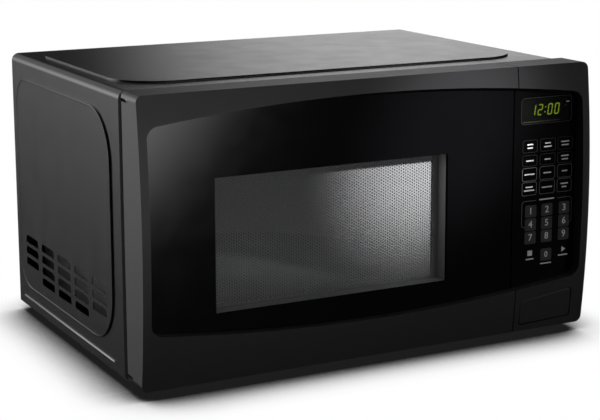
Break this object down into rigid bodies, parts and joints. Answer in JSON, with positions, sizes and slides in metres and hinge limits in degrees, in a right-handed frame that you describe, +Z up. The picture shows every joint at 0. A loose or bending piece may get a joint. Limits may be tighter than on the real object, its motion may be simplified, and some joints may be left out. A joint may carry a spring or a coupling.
{
  "type": "countertop microwave oven",
  "caption": "Black countertop microwave oven with a left-hinged bulged door, arched glass front, perforated window screen, flat keypad and push-button door release.",
  "frame": {"origin": "bottom centre of the whole oven, on the surface its feet stand on", "axes": "+X to the right seen from the front, the front faces -Y, +Z up"},
  "size_m": [0.448, 0.336, 0.258],
  "materials": {
    "case_paint": "black semi-gloss powder coat",
    "front_plastic": "black glossy moulded plastic",
    "black_glass": "black glass with a printed back, clear window",
    "screen_paint": "black enamelled perforated steel",
    "zinc_steel": "zinc-coated sheet steel",
    "cavity_enamel": "light grey enamel",
    "matte_black": "matte black plastic",
    "clear_film": "clear film",
    "ivory_plastic": "off-white moulded plastic",
    "spring_steel": "spring wire",
    "rubber_black": "black rubber",
    "display": "dark tinted display lens",
    "circuit": "green circuit board",
    "switch_black": "switch housing",
    "plunger_red": "red plunger",
    "tray_glass": "pressed clear glass",
    "mica": "mica sheet",
    "core_steel": "varnished laminations",
    "copper": "enamelled copper winding",
    "aluminium": "bare aluminium",
    "bulb_glass": "clear bulb",
    "fuse_ceramic": "ceramic fuse",
    "filter_board": "phenolic board with coil",
    "wire_bundle": "wrapped wires"
  },
  "bodies": {
    "root": {"outer_cabinet": "case_paint", "base_plate": "zinc_steel", "back_panel": "case_paint", "front_plate": "zinc_steel", "cavity_wrap": "cavity_enamel", "cavity_floor": "cavity_enamel", "cavity_back": "cavity_enamel", "feet": "rubber_black", "case_screws": "zinc_steel", "cord_gland": "rubber_black", "hinge_upper": "zinc_steel", "hinge_lower": "zinc_steel", "panel_frame": "front_plastic", "control_overlay": "black_glass", "display_lens": "display", "keypad_circuit": "circuit", "control_board": "circuit", "board_parts": "ivory_plastic", "button_spring": "spring_steel", "latch_board": "ivory_plastic", "interlock_switches": "switch_black", "turntable_motor": "zinc_steel", "motor_cover": "zinc_steel", "magnetron": "aluminium", "filter_box": "zinc_steel", "waveguide": "zinc_steel", "waveguide_cover": "mica", "transformer_core": "core_steel", "transformer_windings": "copper", "hv_capacitor": "aluminium", "hv_diode": "switch_black", "fan_shroud": "ivory_plastic", "fan_motor": "core_steel", "oven_lamp": "bulb_glass", "lamp_holder": "ivory_plastic", "thermal_cutouts": "switch_black", "noise_filter": "filter_board", "mains_fuse": "fuse_ceramic", "wiring_harness": "wire_bundle"},
    "door": {"door_frame": "front_plastic", "door_glass": "black_glass", "door_screen": "screen_paint", "choke_frame": "screen_paint", "choke_cover": "matte_black", "inner_window": "clear_film", "latch_spring": "spring_steel", "hinge_bushes": "ivory_plastic"},
    "latch": {"latch_hooks": "ivory_plastic"},
    "button": {"door_button": "front_plastic"},
    "lever": {"release_lever": "ivory_plastic"},
    "plunger_lower": {"plunger_1": "plunger_red"},
    "plunger_middle": {"plunger_2": "plunger_red"},
    "plunger_upper": {"plunger_3": "plunger_red"},
    "turntable_drive": {"turntable_coupler": "ivory_plastic"},
    "tray": {"glass_tray": "tray_glass"},
    "ring": {"roller_ring": "ivory_plastic"},
    "wheel_1": {"roller_1": "ivory_plastic"},
    "wheel_2": {"roller_2": "ivory_plastic"},
    "wheel_3": {"roller_3": "ivory_plastic"},
    "fan": {"fan_blade": "ivory_plastic"}
  },
  "joints": [
    {"name": "door_hinge", "type": "hinge", "parent": "root", "child": "door", "pos_m": [-0.216, -0.1345, 0.1335], "axis": [0, 0, -1], "range_deg": [0, 100]},
    {"name": "button_press", "type": "slide", "parent": "root", "child": "button", "axis": [0, 1, 0], "range_m": [0, 0.005], "stiffness_N_per_m": 400, "springref_m": -0.002, "deforming": ["button_spring"]},
    {"name": "lever_turn", "type": "hinge", "parent": "root", "child": "lever", "pos_m": [0.1447, -0.118, 0.044], "axis": [1, 0, 0], "range_deg": [0, 18]},
    {"name": "latch_lift", "type": "slide", "parent": "door", "child": "latch", "axis": [0, 0, 1], "range_m": [0, 0.005], "stiffness_N_per_m": 120, "springref_m": -0.002, "deforming": ["latch_spring"]},
    {"name": "switch_lower_travel", "type": "slide", "parent": "root", "child": "plunger_lower", "axis": [0, 1, 0], "range_m": [0, 0.0012], "stiffness_N_per_m": 300, "springref_m": -0.001},
    {"name": "switch_middle_travel", "type": "slide", "parent": "root", "child": "plunger_middle", "axis": [0, 1, 0], "range_m": [0, 0.0012], "stiffness_N_per_m": 300, "springref_m": -0.001},
    {"name": "switch_upper_travel", "type": "slide", "parent": "root", "child": "plunger_upper", "axis": [0, 1, 0], "range_m": [0, 0.0012], "stiffness_N_per_m": 300, "springref_m": -0.001},
    {"name": "turntable_turn", "type": "hinge", "parent": "root", "child": "turntable_drive", "pos_m": [-0.03925, 0.0173, 0.035], "axis": [0, 0, 1], "continuous": true},
    {"name": "tray_lift", "type": "slide", "parent": "turntable_drive", "child": "tray", "axis": [0, 0, 1], "range_m": [0, 0.025]},
    {"name": "ring_turn", "type": "hinge", "parent": "root", "child": "ring", "pos_m": [-0.03925, 0.0173, 0.0387], "axis": [0, 0, 1], "continuous": true},
    {"name": "wheel_1_turn", "type": "hinge", "parent": "ring", "child": "wheel_1", "pos_m": [-0.03925, 0.1143, 0.0387], "axis": [0, 1, 0], "continuous": true},
    {"name": "wheel_2_turn", "type": "hinge", "parent": "ring", "child": "wheel_2", "pos_m": [-0.12325, -0.0312, 0.0387], "axis": [-0.866, -0.5, 0], "continuous": true},
    {"name": "wheel_3_turn", "type": "hinge", "parent": "ring", "child": "wheel_3", "pos_m": [0.04475, -0.0312, 0.0387], "axis": [0.866, -0.5, 0], "continuous": true},
    {"name": "fan_turn", "type": "hinge", "parent": "root", "child": "fan", "pos_m": [0.17012, 0.117, 0.189], "axis": [0, 1, 0], "continuous": true}
  ],
  "couplings": [
    {"joint": "lever_turn", "follows": "button_press", "rad_per_m": 62.5},
    {"joint": "latch_lift", "follows": "button_press", "ratio": 1},
    {"joint": "ring_turn", "follows": "turntable_turn", "ratio": 0.5},
    {"joint": "wheel_1_turn", "follows": "turntable_turn", "ratio": -6.4667},
    {"joint": "wheel_2_turn", "follows": "turntable_turn", "ratio": -6.4667},
    {"joint": "wheel_3_turn", "follows": "turntable_turn", "ratio": -6.4667}
  ]
}
